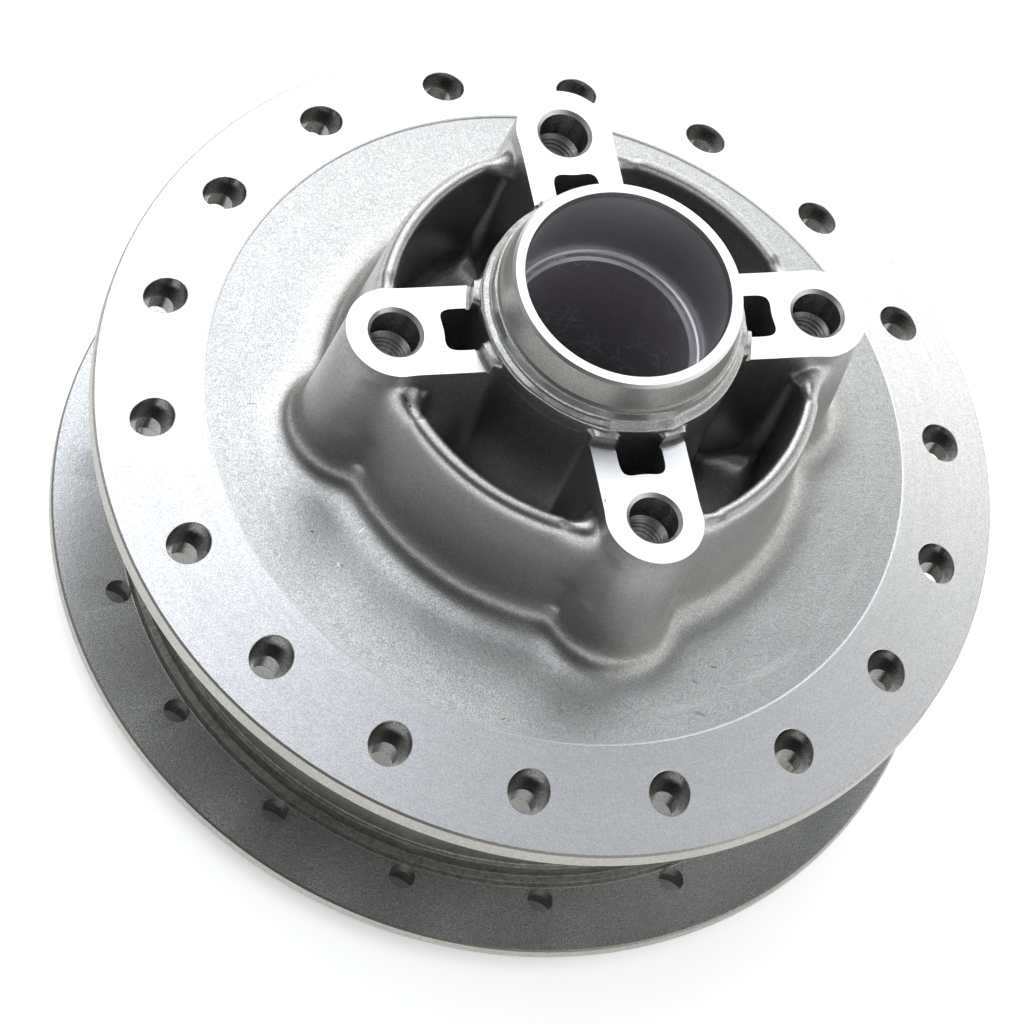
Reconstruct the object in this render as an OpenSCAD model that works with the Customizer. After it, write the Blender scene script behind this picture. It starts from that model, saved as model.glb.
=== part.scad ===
// Rear wheel hub of a spoked motorcycle wheel, with a drum brake.
// One aluminium casting, machined on the sprocket side and in the drum.
// Millimetres, +Z along the axle towards the sprocket side. The origin is on the axle,
// at the face of the drum mouth, and two of the sprocket arms lie along X.

/* [Spoke flanges] */
// Diameter of the circle through the spoke holes, the same on both flanges
spoke_circle_d = 170; // [155:0.5:185]
// Distance from the spoke holes out to the edge of the flanges
spoke_edge = 11.45; // [10:0.05:13]
// Spoke holes in each flange
spoke_count = 18; // [12:1:20]
// Turn of the upper spoke holes from the first arm, in degrees
spoke_turn = -5.2; // [-10:0.1:10]
// Slope of the outer face of each flange, in degrees
flange_slope = 18.5; // [15:0.5:20]
// Slope of the face that each flange turns to the other, in degrees
inner_slope = 4; // [2:0.5:5]
// Height of the upper spoke-hole mouths above the drum mouth
spoke_plane = 59.5; // [58:0.1:61]
// Height of the side face of the upper flange
upper_side = 4.4; // [3.6:0.1:5]
// Height of the side face of the lower flange
lower_side = 3.1; // [2.6:0.1:3.6]
// Height of the lower edge of the lower flange above the drum mouth
lower_edge = 7.9; // [7:0.1:9]
// Bevel on the edges of the flanges
edge_bevel = 0.4; // [0.2:0.1:0.7]
// Diameter of the seat that takes a spoke head
spoke_seat_d = 8.8; // [8:0.1:9.4]
// Depth of the spoke seat at its centre
spoke_seat_depth = 4.7; // [4:0.1:5.2]
// Diameter of the spoke hole under the seat
spoke_hole_d = 5.4; // [4.6:0.1:6]

/* [Barrel between the flanges] */
// Distance from the spoke holes in to the barrel
spoke_gap = 5.2; // [5:0.1:6.5]
// Fillet between the barrel and the upper flange
barrel_fillet = 3; // [2:0.5:4]
// Height of the stepped foot of the barrel above the drum mouth
foot_top = 17.6; // [16.5:0.1:18.5]
// Width of the narrow ledge at the top of the foot
foot_ledge = 0.7; // [0.4:0.1:1]
// Width of the collar at the bottom of the foot
collar_width = 1.5; // [1:0.1:2]
// Height of the collar above the flange face
collar_rise = 1.4; // [0.8:0.1:2]

/* [Cast disc] */
// Distance from the spoke holes in to the cast disc, where the turned cone ends
turned_inset = 10; // [8:0.5:12]
// Height of the thin burr left round the cast disc
burr_height = 0.35; // [0.2:0.05:0.5]
// Width of the burr
burr_width = 0.5; // [0.3:0.1:0.7]
// Height of the cast disc above the spoke holes, at the foot of the shell
disc_rise = 4.7; // [4:0.1:5.4]
// Step down from the burr to the cast disc
disc_step = 0.25; // [0.1:0.05:0.4]
// Thickness of the web between the disc and the drum
web_thickness = 8.5; // [7:0.5:9.5]

/* [Shell and pockets] */
// Outer diameter of the shell at its parting seam
seam_d = 93.8; // [92:0.2:95]
// Depth of the parting seam under the arm faces
seam_drop = 6.5; // [5.5:0.1:8]
// Thickness of the shell at its seam
shell_wall = 3.8; // [3.3:0.1:4.5]
// Draft of the cast walls, in degrees
draft = 3.4; // [2:0.2:4]
// Height of the rounded lip over the seam
lip_rise = 1.3; // [1:0.1:1.8]
// Set-back of the lip from the seam
lip_step = 0.6; // [0.4:0.1:0.8]
// Radius of the inner edge of the lip
lip_radius = 1.4; // [1:0.1:1.6]
// Depth of the pocket floor under the foot of the shell
pocket_sink = 1.2; // [0:0.1:2.5]
// Fillet at the foot of the cast walls
foot_fillet = 6; // [4:0.5:6.5]
// Fillet on the pocket floor
floor_fillet = 4; // [3:0.5:4.5]
// Radius of the pocket corners beside the arms
pocket_corner = 4; // [3:0.5:4.5]
// Fillet between a pillar and the shell, outside
valley_fillet = 2; // [1.5:0.5:4]

/* [Sprocket arms] */
// Diameter of the circle through the sprocket stud holes
stud_circle_d = 90; // [89:0.5:91]
// Number of arms
arm_count = 4; // [3:1:4]
// Width of an arm
arm_width = 20.1; // [19.5:0.1:20.2]
// Diameter of the pillar at the end of an arm
pillar_d = 20.4; // [20.3:0.1:21]
// Height of the machined arm faces above the drum mouth
arm_height = 103.3; // [102:0.1:105]
// Diameter that centres the sprocket
register_d = 58; // [57.4:0.1:58.4]
// Height of the centring face above the arms
register_height = 4.4; // [3.5:0.1:5]
// Depth of the groove at the foot of the centring face
groove_depth = 0.5; // [0.3:0.1:0.8]
// Width of that groove
groove_width = 0.8; // [0.5:0.1:1.2]
// Width of the window in an arm
window_width = 9.7; // [9:0.1:10.5]
// Distance from the stud hole in to the end of the window
window_reach = 9.6; // [9.2:0.1:9.8]
// Thinning of the pillar where the window passes it
window_bulge = 0.15; // [0.1:0.05:0.4]
// Corner radius of the window
window_corner = 1.5; // [1:0.1:2]
// Height of the window floor above the pocket floor
window_step = 7; // [3:1:17]
// Tapping radius of the stud holes
stud_core_r = 4.25; // [4:0.05:4.4]
// Radius of the plain upper part of a stud hole
stud_plain_r = 5.1; // [4.9:0.05:5.3]
// Depth of the plain part
stud_plain_depth = 8; // [6:0.5:9]
// Full depth of a stud hole to its cone
stud_depth = 25; // [20:1:30]
// Radius of the chamfer at the mouth of a stud hole
stud_mouth_r = 5.85; // [5.5:0.05:6.1]

/* [Centre boss] */
// Height of the boss above the arms
boss_rise = 15.2; // [13.5:0.1:17]
// Wall between the bearing and the edge of the flat ring on top of the boss
boss_wall = 2.3; // [2:0.1:2.6]
// Bevel outside that ring
boss_bevel = 0.6; // [0.4:0.1:0.8]
// Spread of the turned part from the ring down to its foot
boss_spread = 1.5; // [1.1:0.1:1.8]
// Height of the foot of the turned part above the arms
boss_foot = 8.2; // [7.6:0.1:9]
// Clearance of the cast collar inside the sprocket's centring face
collar_clearance = 1.1; // [0.8:0.1:1.5]
// Height of the lower edge of the cast collar above the arms
collar_edge = 3.6; // [3:0.1:4.2]
// Set-back of the boss wall under the collar
collar_undercut = 0.7; // [0.4:0.1:1]
// Height of the upright band on the collar
collar_band = 0.8; // [0.5:0.1:1.2]
// Step at the foot of the turned part
turned_step = 0.45; // [0.3:0.05:0.6]

/* [Bearing seats] */
// Radius of both bearing seats
bearing_r = 21; // [20.9:0.05:21.1]
// Depth of the sprocket-side seat
upper_seat_depth = 21.5; // [20:0.5:23]
// Width of the shoulder that stops each bearing
shoulder_width = 2.2; // [2:0.1:2.8]
// Radius at the bottom corner of a seat
seat_fillet = 0.8; // [0.5:0.1:1]
// Chamfer at the mouth of the passage
passage_chamfer = 0.6; // [0.4:0.1:0.8]
// Width of the chamfer at the mouth of a seat
mouth_chamfer = 0.45; // [0.3:0.05:0.6]
// Depth of the chamfer at the mouth of a seat
mouth_chamfer_depth = 1.3; // [0.8:0.1:1.6]

/* [Brake drum] */
// Wall between the brake track and the barrel
drum_wall = 9.8; // [8:0.1:12]
// Height of the cast back of the drum, from the brake track to the web
drum_back = 11.7; // [10:0.1:15]
// Step from the brake track in to the cast back of the drum
track_step = 1.5; // [1:0.5:2]
// Radius of the inner corner of the drum
drum_fillet = 7; // [5:0.5:7.5]
// Width of the rim round the drum mouth
mouth_rim = 8.5; // [7.5:0.1:9.2]
// Bevel on the edges of the drum mouth
mouth_bevel = 1; // [0.5:0.1:1.2]
// Wall of the brake-side boss round its bearing
brake_boss_wall = 8; // [7:0.5:9]
// Height of the face of the brake-side boss above the drum mouth
brake_boss_face = 24; // [20:1:28]
// Depth of the brake-side bearing seat
brake_seat_depth = 14; // [13:0.5:16]
// Bevel on the edge of the brake-side boss
brake_boss_bevel = 1.2; // [0.6:0.1:1.6]

/* [Hidden] */
$fn = 96;
hole_fn = 48;
arc_step = 15;
drill_point_angle = 59;
cut_over = 1;
blend_over = 2;
foot_sink = 0.25;
fine_round = 0.3;
cast_round = 0.7;
alloy = [0.78, 0.79, 0.8];

spoke_r = spoke_circle_d / 2;
flange_r = spoke_r + spoke_edge;
turned_r = spoke_r - turned_inset;
barrel_r = spoke_r - spoke_gap;
foot_r = barrel_r + foot_ledge;
track_r = barrel_r - drum_wall;
mouth_r = track_r + mouth_rim;
stud_r = stud_circle_d / 2;
pillar_r = pillar_d / 2;
window_end = stud_r - window_reach;
seam_r = seam_d / 2;
shell_bore_r = seam_r - shell_wall;
register_r = register_d / 2;
collar_r = register_r - collar_clearance;
boss_ring_r = bearing_r + boss_wall;
boss_foot_r = boss_ring_r + boss_spread;
brake_boss_r = bearing_r + brake_boss_wall;
passage_r = bearing_r - shoulder_width;
disc_z = spoke_plane + disc_rise;
web_under = disc_z - web_thickness;
track_depth = web_under - drum_back;
pocket_floor = disc_z - pocket_sink;
window_floor = pocket_floor + window_step;
seam_height = arm_height - seam_drop;
hub_height = arm_height + boss_rise;
lower_top = lower_edge + lower_side;
upper_low = cone_z(flange_r) - upper_side;
lip_z = seam_height + lip_rise;
boss_foot_z = arm_height + boss_foot;
collar_z = arm_height + collar_edge;
upper_shoulder = hub_height - upper_seat_depth;
brake_shoulder = brake_boss_face + brake_seat_depth;
lower_plane = lower_cone_z(spoke_r);
collar_top = lower_face_z(barrel_r) + collar_rise;
arm_root = bearing_r + mouth_chamfer;
pillar_base = web_under + web_thickness / 2;
pillar_foot = disc_at(stud_r + pillar_at(disc_z) + foot_fillet) - foot_sink;

// Height of the outer face of the upper flange at a radius, and of the lower one
function cone_z(r) = spoke_plane - (r - spoke_r) * tan(flange_slope);
function lower_cone_z(r) = lower_edge - (flange_r - r) * tan(flange_slope);
// Height of the two faces that the flanges turn to each other
function upper_face_z(r) = upper_low - (flange_r - r) * tan(inner_slope);
function lower_face_z(r) = lower_top + (flange_r - r) * tan(inner_slope);
// Outer radius of the shell and of a pillar at a height, both growing downwards
function shell_r(z) = seam_r + (seam_height - z) * tan(draft);
function pillar_at(z) = pillar_r + (arm_height - z) * tan(draft);
// Height of the cast disc at a radius
function disc_at(r) = let (end = turned_r - burr_width)
    disc_z + (cone_z(turned_r) - disc_step - disc_z) * (r - shell_r(disc_z)) / (end - shell_r(disc_z));
// Boss wall in the pockets
function boss_wall_r(z) = collar_r - collar_undercut + (collar_z - z) * tan(draft) / 2;

function unit(v) = v / norm(v);
function flat(list) = [for (part = list) for (p = part) p];

// Points of a corner b between a and c, rounded to radius r
function corner(a, b, c, r) =
    r == 0 ? [b] :
    let (
        u = unit(a - b),
        w = unit(c - b),
        half = acos(u * w) / 2,
        centre = b + unit(u + w) * r / sin(half),
        first = b + u * r / tan(half) - centre,
        turn = (180 - 2 * half) * sign(u[1] * w[0] - u[0] * w[1]),
        n = ceil(abs(turn) / arc_step)
    )
    [for (i = [0:n]) let (t = turn * i / n)
        centre + [first[0] * cos(t) - first[1] * sin(t), first[0] * sin(t) + first[1] * cos(t)]];

// Polygon points of a list of [radius, height, corner radius]
function rounded(list) = let (n = len(list)) flat([for (i = [0:n - 1]) let (
        a = list[(i + n - 1) % n],
        b = list[i],
        c = list[(i + 1) % n]
    ) corner([a[0], a[1]], [b[0], b[1]], [c[0], c[1]], b[2])]);

// Half section of the turned and cast body, from the top of the boss outwards and round
function boss_outside() = [
    [bearing_r + mouth_chamfer, hub_height, 0],
    [boss_ring_r, hub_height, 0],
    [boss_ring_r + boss_bevel, hub_height - boss_bevel, 0],
    [boss_foot_r, boss_foot_z, fine_round],
    [boss_foot_r + turned_step, boss_foot_z - turned_step, 0],
    [collar_r, collar_z + collar_band, cast_round],
    [collar_r, collar_z, fine_round],
    [boss_wall_r(collar_z - collar_undercut), collar_z - collar_undercut, fine_round],
    [boss_wall_r(pocket_floor), pocket_floor, floor_fillet]
];
function shell_side() = [
    [shell_bore_r - (lip_z - pocket_floor) * tan(draft) / 2, pocket_floor, floor_fillet],
    [shell_bore_r, lip_z, lip_radius],
    [seam_r - lip_step, lip_z, lip_radius],
    [seam_r - lip_step, seam_height, 0],
    [seam_r, seam_height, 0],
    [shell_r(disc_z), disc_z, foot_fillet]
];
function flange_side() = [
    [turned_r - burr_width, cone_z(turned_r) - disc_step, 0],
    [turned_r - burr_width / 2, cone_z(turned_r) + burr_height, 0],
    [turned_r, cone_z(turned_r), 0],
    [flange_r - edge_bevel, cone_z(flange_r - edge_bevel), 0],
    [flange_r, cone_z(flange_r) - edge_bevel, 0],
    [flange_r, upper_low + edge_bevel, 0],
    [flange_r - edge_bevel, upper_low, 0],
    [barrel_r, upper_face_z(barrel_r), barrel_fillet],
    [barrel_r, foot_top, cast_round],
    [foot_r, foot_top - fine_round, fine_round],
    [foot_r, collar_top + fine_round, fine_round],
    [foot_r + collar_width, collar_top, fine_round],
    [foot_r + collar_width + fine_round, lower_face_z(foot_r + collar_width), fine_round],
    [flange_r - edge_bevel, lower_top, 0],
    [flange_r, lower_top - edge_bevel, 0],
    [flange_r, lower_edge + edge_bevel, 0],
    [flange_r - edge_bevel, lower_edge, 0]
];
function drum_side() = [
    [mouth_r, lower_cone_z(mouth_r), cast_round],
    [mouth_r, mouth_bevel, 0],
    [mouth_r - mouth_bevel, 0, 0],
    [track_r + mouth_bevel, 0, 0],
    [track_r, mouth_bevel, 0],
    [track_r, track_depth, 0],
    [track_r - track_step, track_depth + track_step / 2, 0],
    [track_r - track_step, web_under, drum_fillet],
    [brake_boss_r + (web_under - brake_boss_face) * tan(draft) / 2, web_under, foot_fillet],
    [brake_boss_r, brake_boss_face + brake_boss_bevel, 0],
    [brake_boss_r - brake_boss_bevel, brake_boss_face, 0]
];
function bore_side() = [
    [bearing_r + mouth_chamfer, brake_boss_face, 0],
    [bearing_r, brake_boss_face + mouth_chamfer_depth, 0],
    [bearing_r, brake_shoulder, seat_fillet],
    [passage_r + passage_chamfer, brake_shoulder, 0],
    [passage_r, brake_shoulder + passage_chamfer, 0],
    [passage_r, upper_shoulder - passage_chamfer, 0],
    [passage_r + passage_chamfer, upper_shoulder, 0],
    [bearing_r, upper_shoulder, seat_fillet],
    [bearing_r, hub_height - mouth_chamfer_depth, 0]
];

module body() {
    rotate_extrude() polygon(rounded(concat(
        boss_outside(), shell_side(), flange_side(), drum_side(), bore_side())));
}

module for_arms() {
    for (i = [0:arm_count - 1]) rotate([0, 0, i * 360 / arm_count]) children();
}

module on_both_sides() {
    children();
    mirror([0, 1, 0]) children();
}

// Arm from the boss to its pillar, with the step that centres the sprocket
module arm() {
    difference() {
        union() {
            translate([arm_root, -arm_width / 2, pillar_base])
                cube([stud_r - arm_root, arm_width, arm_height - pillar_base]);
            intersection() {
                translate([arm_root, -arm_width / 2, arm_height - blend_over])
                    cube([register_r, arm_width, register_height + blend_over]);
                cylinder(h = arm_height + register_height, r = register_r);
            }
        }
        translate([0, 0, window_floor]) linear_extrude(hub_height - window_floor) window();
        translate([0, 0, arm_height - groove_depth]) difference() {
            cylinder(h = groove_depth, r = register_r + groove_width);
            translate([0, 0, -cut_over]) cylinder(h = groove_depth + 2 * cut_over, r = register_r);
        }
    }
}

// Outline of the window, open to the boss and bulged by the pillar
module window() {
    half = window_width / 2 - window_corner;
    difference() {
        union() {
            translate([0, -half]) square([window_end, 2 * half]);
            translate([0, -window_width / 2]) square([window_end - window_corner, window_width]);
            for (v = [-half, half])
                translate([window_end - window_corner, v]) circle(r = window_corner, $fn = hole_fn);
        }
        translate([stud_r, 0]) circle(r = pillar_r - window_bulge);
    }
}

// Round pillar under the end of an arm, flared into the disc
module pillar() {
    difference() {
        translate([stud_r, 0, 0]) rotate_extrude() polygon(rounded([
            [0, pillar_base, 0],
            [pillar_at(pillar_foot) + foot_fillet + blend_over, pillar_base, 0],
            [pillar_at(pillar_foot) + foot_fillet + blend_over, pillar_foot, 0],
            [pillar_at(pillar_foot), pillar_foot, foot_fillet],
            [pillar_r, arm_height, 0],
            [0, arm_height, 0]
        ]));
        translate([0, 0, window_floor]) linear_extrude(hub_height - window_floor) window();
    }
}

// Fillet that rounds a pocket corner between an arm and the shell
module pocket_corner_post() {
    v = pillar_r + pocket_corner;
    u = sqrt(pow(shell_bore_r - pocket_corner, 2) - v * v);
    difference() {
        polygon([[u, pillar_r - blend_over], [shell_bore_r, pillar_r - blend_over],
            [u, v] * (shell_bore_r + blend_over) / (shell_bore_r - pocket_corner), [u, v]]);
        translate([u, v]) circle(r = pocket_corner, $fn = hole_fn);
    }
}

// Centre of the circle that touches both the shell and a pillar at a height
function valley(z) = let (
        far = shell_r(z) + valley_fillet,
        near = pillar_at(z) + valley_fillet,
        u = (far * far - near * near + stud_r * stud_r) / (2 * stud_r)
    ) [u, sqrt(far * far - u * u), z];

// Fillet between a pillar and the outside of the shell, leaning with their draft
module valley_post() {
    low = valley(disc_z);
    high = valley(seam_height - lip_step);
    mid = valley((low[2] + high[2]) / 2);
    rise = high - low;
    length = norm(rise);
    shell_mid = shell_r(mid[2]);
    pillar_mid = pillar_at(mid[2]);
    c = [mid[0], mid[1]];
    pillar_c = [stud_r, 0];
    translate([low[0], low[1], low[2]])
        rotate([0, acos(rise[2] / length), atan2(rise[1], rise[0])])
            rotate([0, 0, -atan2(rise[1], rise[0])])
                linear_extrude(length) difference() {
                    polygon([[0, 0], -c * valley_fillet / (shell_mid + valley_fillet),
                        [stud_r, pillar_mid / 2] - c,
                        (pillar_c - c) * valley_fillet / (pillar_mid + valley_fillet)]);
                    circle(r = valley_fillet, $fn = hole_fn);
                }
}

// Tapped hole with its drill point, its plain upper part and the chamfer at its mouth
module stud_hole() {
    chamfer = stud_mouth_r - stud_plain_r;
    translate([stud_r, 0, arm_height]) rotate_extrude($fn = hole_fn) polygon([
        [0, -stud_depth - stud_core_r / tan(drill_point_angle)],
        [stud_core_r, -stud_depth],
        [stud_core_r, -stud_plain_depth],
        [stud_plain_r, -stud_plain_depth],
        [stud_plain_r, -chamfer],
        [stud_mouth_r + cut_over, cut_over],
        [0, cut_over]
    ]);
}

// Spoke holes of one flange: a plain hole from its inner face, and a seat sunk from its outer face
module spoke_holes(turn, inner_z, seat_z, outer_z) {
    for (i = [0:spoke_count - 1]) rotate([0, 0, turn + i * 360 / spoke_count])
        translate([spoke_r, 0, 0]) rotate_extrude($fn = hole_fn) polygon([
            [0, inner_z],
            [spoke_hole_d / 2, inner_z],
            [spoke_hole_d / 2, seat_z],
            [spoke_seat_d / 2, seat_z],
            [spoke_seat_d / 2, outer_z],
            [0, outer_z]
        ]);
}

module hub_casting() {
    color(alloy) difference() {
        union() {
            body();
            for_arms() {
                arm();
                pillar();
                on_both_sides() {
                    translate([0, 0, pillar_base])
                        linear_extrude(lip_z - lip_radius - pillar_base) pocket_corner_post();
                    valley_post();
                }
            }
        }
        for_arms() stud_hole();
        spoke_holes(spoke_turn, upper_face_z(spoke_r) - blend_over,
            spoke_plane - spoke_seat_depth, spoke_plane + blend_over);
        spoke_holes(spoke_turn + 360 / spoke_count / 2, lower_face_z(spoke_r) + blend_over,
            lower_plane + spoke_seat_depth, lower_plane - blend_over);
    }
}

hub_casting();
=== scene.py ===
"""Looks of a motorcycle wheel hub: a cast core, turned spoke flanges, a barrel and a brake drum."""
import logging
import math
from dataclasses import dataclass
from enum import Enum
from typing import Callable, Iterable, Iterator, Sequence

import bmesh
import bpy
from mathutils import Matrix, Vector, noise


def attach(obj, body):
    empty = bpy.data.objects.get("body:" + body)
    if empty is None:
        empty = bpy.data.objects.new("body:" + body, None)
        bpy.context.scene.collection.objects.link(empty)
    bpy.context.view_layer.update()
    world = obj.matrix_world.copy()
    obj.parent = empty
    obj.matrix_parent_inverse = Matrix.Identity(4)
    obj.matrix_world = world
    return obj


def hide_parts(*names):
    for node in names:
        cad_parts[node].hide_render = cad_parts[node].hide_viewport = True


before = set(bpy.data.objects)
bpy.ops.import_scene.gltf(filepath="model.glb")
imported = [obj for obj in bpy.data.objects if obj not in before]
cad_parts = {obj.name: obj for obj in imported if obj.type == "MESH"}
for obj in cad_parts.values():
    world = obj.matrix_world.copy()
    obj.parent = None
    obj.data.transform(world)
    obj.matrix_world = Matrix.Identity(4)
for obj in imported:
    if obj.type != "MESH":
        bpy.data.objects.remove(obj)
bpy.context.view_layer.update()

log = logging.getLogger("wheel_hub")
MM = 0.001
WELD = 1e-7
Point = tuple[float, float]
Corner = tuple[float, float, float]
Colour = tuple[float, float, float]


class Skin(Enum):
    """Surfaces of the hub, by the way each was made."""

    CAST = "cast"
    MILLED = "milled"
    BOSS = "boss_turning"
    SEAT = "bearing_seat"
    PASSAGE = "passage"
    HOLE = "drilled"
    THREAD = "thread"
    FLANGE = "flange_turning"
    LOWER = "lower_flange"
    RIM = "flange_edge"
    BARREL = "barrel"
    TRACK = "brake_track"


# Mesh helpers

def corner(a: Point, b: Point, c: Point, radius: float, step: float = 12.0) -> list[Point]:
    """Rounds the corner b of a profile.

    Args:
        a: The point before the corner, in mm.
        b: The corner.
        c: The point after it.
        radius: Fillet radius, 0 for a sharp corner.
        step: Largest turn of one piece of the arc, in degrees.

    Returns:
        The points that stand for the corner.
    """
    if radius <= 0:
        return [b]
    va, vb, vc = Vector(a), Vector(b), Vector(c)
    u, w = (va - vb).normalized(), (vc - vb).normalized()
    half = math.acos(max(-1.0, min(1.0, u.dot(w)))) / 2
    centre = vb + (u + w).normalized() * radius / math.sin(half)
    first = vb + u * radius / math.tan(half) - centre
    turn = (math.pi - 2 * half) * (1 if u.y * w.x - u.x * w.y > 0 else -1)
    count = max(1, math.ceil(abs(math.degrees(turn)) / step))
    points = []
    for i in range(count + 1):
        t = turn * i / count
        points.append((centre.x + first.x * math.cos(t) - first.y * math.sin(t),
                       centre.y + first.x * math.sin(t) + first.y * math.cos(t)))
    return points


def rounded(profile: Sequence[Corner]) -> list[Point]:
    """Rounds every corner of a closed profile of (radius, height, fillet)."""
    n = len(profile)
    points: list[Point] = []
    for i, (r, z, fillet) in enumerate(profile):
        points += corner(profile[i - 1][:2], (r, z), profile[(i + 1) % n][:2], fillet)
    return points


def face_outwards(bm: bmesh.types.BMesh) -> None:
    """Turns the faces of a closed bmesh outwards."""
    bmesh.ops.recalc_face_normals(bm, faces=bm.faces)
    if bm.calc_volume(signed=True) < 0:
        bmesh.ops.reverse_faces(bm, faces=bm.faces)


def turned(bm: bmesh.types.BMesh, degrees: float) -> bmesh.types.BMesh:
    """Turns a bmesh round the axle and gives it back."""
    matrix = Matrix.Rotation(math.radians(degrees), 3, "Z")
    bmesh.ops.rotate(bm, verts=bm.verts, cent=(0, 0, 0), matrix=matrix)
    return bm


def smooth(bm: bmesh.types.BMesh, verts: Iterable[bmesh.types.BMVert], count: int) -> None:
    """Smooths some vertices a number of times."""
    for _ in range(count):
        bmesh.ops.smooth_vert(bm, verts=verts, factor=0.5, use_axis_x=True, use_axis_y=True, use_axis_z=True)


def from_arm(p: Vector) -> float:
    """Gives the angle between a point and the nearest arm, in degrees."""
    return abs((math.degrees(math.atan2(p.y, p.x)) + 45) % 90 - 45)


def clamped(value: float) -> float:
    """Holds a value between 0 and 1."""
    return max(0.0, min(1.0, value))


def revolve(points: Sequence[Point], centre: Point = (0.0, 0.0), segments: int = 192) -> bmesh.types.BMesh:
    """Spins a closed profile round an upright axis.

    Args:
        points: Profile in mm as (radius, height).
        centre: Place of the axis, in mm.
        segments: Number of steps round the axis.

    Returns:
        A closed bmesh in metres with its normals outwards.
    """
    bm = bmesh.new()
    verts = [bm.verts.new(((centre[0] + r) * MM, centre[1] * MM, z * MM)) for r, z in points]
    pairs = [(i, (i + 1) % len(verts)) for i in range(len(verts))]
    on_axis = [r <= 1e-6 for r, _ in points]
    edges = [bm.edges.new((verts[i], verts[j])) for i, j in pairs if not (on_axis[i] and on_axis[j])]
    bmesh.ops.spin(bm, geom=verts + edges, cent=(centre[0] * MM, centre[1] * MM, 0.0), axis=(0, 0, 1),
                   angle=math.tau, steps=segments, use_merge=True)
    bmesh.ops.remove_doubles(bm, verts=bm.verts, dist=WELD)
    face_outwards(bm)
    return bm


def as_object(bm: bmesh.types.BMesh, name: str) -> bpy.types.Object:
    """Turns a bmesh into an object at the origin and frees the bmesh."""
    mesh = bpy.data.meshes.new(name)
    bm.to_mesh(mesh)
    bm.free()
    obj = bpy.data.objects.new(name, mesh)
    bpy.context.scene.collection.objects.link(obj)
    return obj


def drop(obj: bpy.types.Object) -> None:
    """Removes a working object and its mesh."""
    mesh = obj.data
    bpy.data.objects.remove(obj)
    bpy.data.meshes.remove(mesh)


def bake(obj: bpy.types.Object) -> None:
    """Writes the live modifiers of an object into its mesh."""
    graph = bpy.context.evaluated_depsgraph_get()
    mesh = bpy.data.meshes.new_from_object(obj.evaluated_get(graph))
    old = obj.data
    obj.modifiers.clear()
    obj.data = mesh
    mesh.name = obj.name
    bpy.data.meshes.remove(old)


def cut(obj: bpy.types.Object, tool: bmesh.types.BMesh, operation: str = "DIFFERENCE") -> None:
    """Cuts or trims an object with a closed tool.

    Args:
        obj: The object that is worked.
        tool: The tool's shape, which is used up.
        operation: DIFFERENCE, INTERSECT or UNION.
    """
    cutter = as_object(tool, obj.name + "_tool")
    step = obj.modifiers.new("cut", "BOOLEAN")
    step.operation = operation
    step.solver = "MANIFOLD"
    step.object = cutter
    before = len(obj.data.polygons)
    bake(obj)
    drop(cutter)
    if len(obj.data.polygons) == 0:
        raise RuntimeError(f"{obj.name}: a cut left nothing")
    log.info("cut %s: %d faces, then %d", obj.name, before, len(obj.data.polygons))


def joined(parts: Iterable[bmesh.types.BMesh]) -> bmesh.types.BMesh:
    """Puts several bmeshes into one, and frees them."""
    whole = bmesh.new()
    for part in parts:
        mesh = bpy.data.meshes.new("part")
        part.to_mesh(mesh)
        part.free()
        whole.from_mesh(mesh)
        bpy.data.meshes.remove(mesh)
    return whole


def tube(r: float, low: float, high: float, centre: Point = (0.0, 0.0),
         segments: int = 64) -> bmesh.types.BMesh:
    """Makes a solid upright cylinder, sizes in mm."""
    bm = bmesh.new()
    middle = Matrix.Translation((centre[0] * MM, centre[1] * MM, (low + high) / 2 * MM))
    bmesh.ops.create_cone(bm, cap_ends=True, segments=segments, radius1=r * MM, radius2=r * MM,
                          depth=(high - low) * MM, matrix=middle)
    return bm


def smooth_by_angle(obj: bpy.types.Object, degrees: float) -> None:
    """Shades an object smooth, with sharp edges above an angle."""
    for face in obj.data.polygons:
        face.use_smooth = True
    obj.data.set_sharp_from_angle(angle=math.radians(degrees))


# Shader helpers

MIX_A, MIX_B, MIX_RESULT = 6, 7, 2  # the colour sockets of a Mix node


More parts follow.
